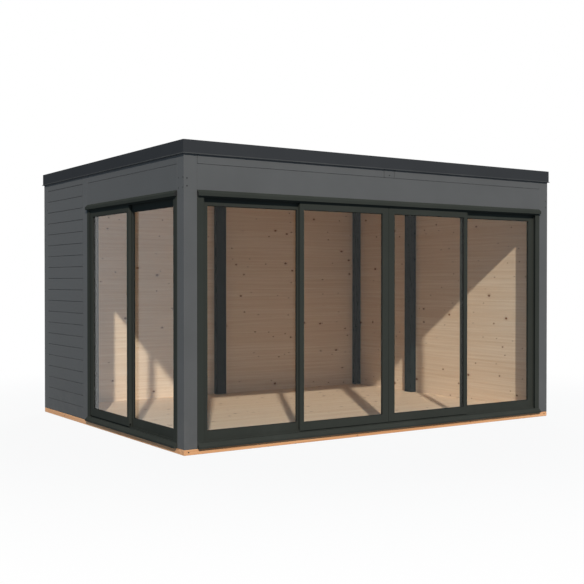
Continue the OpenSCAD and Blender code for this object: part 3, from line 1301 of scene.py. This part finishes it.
@dataclass
class Studio:
    """Pale ground, two lamps, soft light and the camera."""

    key_way: Triple = (0.4277, 0.7399, -0.518)
    key_level: float = 3.6
    key_spread: float = 1.5
    fill_way: Triple = (-0.55, -0.6, -0.58)
    fill_level: float = 2.8
    fill_spread: float = 25.0
    lamp_colour: Colour = (1.0, 0.948, 0.872)
    sky_colour: Colour = (0.62, 1.03, 1.42)
    sky_level: float = 0.3
    ground_size: float = 40.0
    ground_drop: float = 0.0006
    ground_tone: Colour = (0.24, 0.26, 0.29)
    ground_radii: tuple[float, float] = (2.6, 6.5)
    ground_glow: tuple[float, float] = (0.93, 1.0)
    eye: Triple = (-5.720, -8.5565, 1.3949)
    eye_pitch: float = 90 - 0.651
    eye_turn: float = -33.775
    lens: float = 60.48
    sensor: float = 36.0
    far: float = 200.0

    def ground(self) -> None:
        """Lays a pale ground that keeps the house's shadow and fades to white."""
        bm = bmesh.new()
        bmesh.ops.create_grid(bm, x_segments=1, y_segments=1, size=self.ground_size)
        bmesh.ops.translate(bm, vec=(0, 0, -self.ground_drop), verts=bm.verts[:])
        mesh = bpy.data.meshes.new("studio_floor")
        bm.to_mesh(mesh)
        bm.free()
        made = bpy.data.objects.new("studio_floor", mesh)
        bpy.context.scene.collection.objects.link(made)
        coat = bpy.data.materials.new("pale_floor")
        coat.use_nodes = True
        sheet = Sheet(coat.node_tree)
        dull = sheet.surface(Base_Color=self.ground_tone, Roughness=0.9, Specular_IOR_Level=0.0)
        length = sheet.fill(sheet.add("ShaderNodeVectorMath", operation="LENGTH"), Vector=sheet.spot())
        share = sheet.fit(length.outputs["Value"], *self.ground_radii, *self.ground_glow)
        share = sheet.times(share, self.seen(sheet))
        sheet.pick(share, dull, sheet.add("ShaderNodeEmission"))
        mesh.materials.append(coat)

    @staticmethod
    def seen(sheet: Sheet) -> Socket:
        """Tells rays that show the background from rays that carry light.

        Args:
            sheet: The tree that asks.

        Returns:
            A socket that is 1 for rays from the camera, from a gloss or through glass, until they
            meet a dull surface.
        """
        path = sheet.add("ShaderNodeLightPath")
        first = sheet.sum("MAXIMUM", path.outputs["Is Camera Ray"], path.outputs["Is Glossy Ray"])
        first = sheet.sum("MAXIMUM", first, path.outputs["Is Transmission Ray"])
        return sheet.times(first, sheet.sum("LESS_THAN", path.outputs["Diffuse Depth"], 0.5))

    def sky(self) -> None:
        """Fills the world with plain soft light behind a white background."""
        world = bpy.data.worlds.new("studio_world")
        bpy.context.scene.world = world
        world.use_nodes = True
        sheet = Sheet(world.node_tree)
        sheet.add("ShaderNodeOutputWorld")
        soft, white = (sheet.add("ShaderNodeBackground") for _ in range(2))
        sheet.fill(soft, Color=self.sky_colour, Strength=self.sky_level)
        sheet.fill(white, Color=(1.0, 1.0, 1.0))
        sheet.pick(self.seen(sheet), soft, white)

    def lamp(self, name: str, way: Triple, level: float, spread: float) -> None:
        """Hangs a large lamp over the house.

        Args:
            name: Name of the lamp.
            way: Direction that its light travels in.
            level: Its strength.
            spread: Width of the lamp as seen from the house, in degrees.
        """
        data = bpy.data.lights.new(name, "SUN")
        data.energy = level
        data.angle = math.radians(spread)
        data.color = self.lamp_colour
        made = bpy.data.objects.new(name, data)
        made.rotation_euler = Vector(way).to_track_quat("-Z", "Y").to_euler()
        bpy.context.scene.collection.objects.link(made)

    def camera(self) -> None:
        """Sets the camera where the front and the left side both show."""
        data = bpy.data.cameras.new("view")
        data.lens = self.lens
        data.sensor_width = self.sensor
        data.clip_end = self.far
        made = bpy.data.objects.new("view", data)
        made.location = self.eye
        made.rotation_euler = (math.radians(self.eye_pitch), 0.0, math.radians(self.eye_turn))
        bpy.context.scene.collection.objects.link(made)
        bpy.context.scene.camera = made

    def dress(self) -> None:
        """Sets up the studio."""
        self.ground()
        self.sky()
        self.lamp("soft_key", self.key_way, self.key_level, self.key_spread)
        self.lamp("soft_fill", self.fill_way, self.fill_level, self.fill_spread)
        self.camera()
        bpy.context.scene.view_settings.view_transform = "Standard"


def main() -> None:
    """Builds the house from the ground up and reports each piece."""
    logging.basicConfig(level=logging.INFO, format="%(name)s: %(message)s")
    Studio().dress()
    Base().dress()
    BoardFloor().dress()
    for corner in POSTS:
        Upright(f"post_{corner}").dress()
    for node, side in (
        ("wall_left", Side.LEFT),
        ("wall_rear_left", Side.BACK),
        ("wall_rear_right", Side.BACK),
        ("wall_right_front", Side.RIGHT),
        ("wall_right_rear", Side.RIGHT),
    ):
        BoardWall(node, side).dress()
    for node, side, gap in (
        ("beam_front", Side.FRONT, 0.0),
        ("rim_front", Side.FRONT, RIM_GAP),
        ("rim_block", Side.FRONT, RIM_GAP),
        ("beam_left", Side.LEFT, 0.0),
        ("rim_left", Side.LEFT, RIM_GAP),
    ):
        Lintel(node, side, gap=gap).dress()
    SlidingDoor("front", Side.FRONT, {
        "front_fixed_left": SlimEnd.NONE,
        "front_fixed_right": SlimEnd.NONE,
        "front_slide_left": SlimEnd.START,
        "front_slide_right": SlimEnd.FAR,
    }).dress()
    SlidingDoor("side", Side.LEFT, {"side_fixed": SlimEnd.NONE, "side_slide": SlimEnd.START}).dress()
    Roof().dress()
    Fixings().dress()


if __name__ == "__main__":
    main()
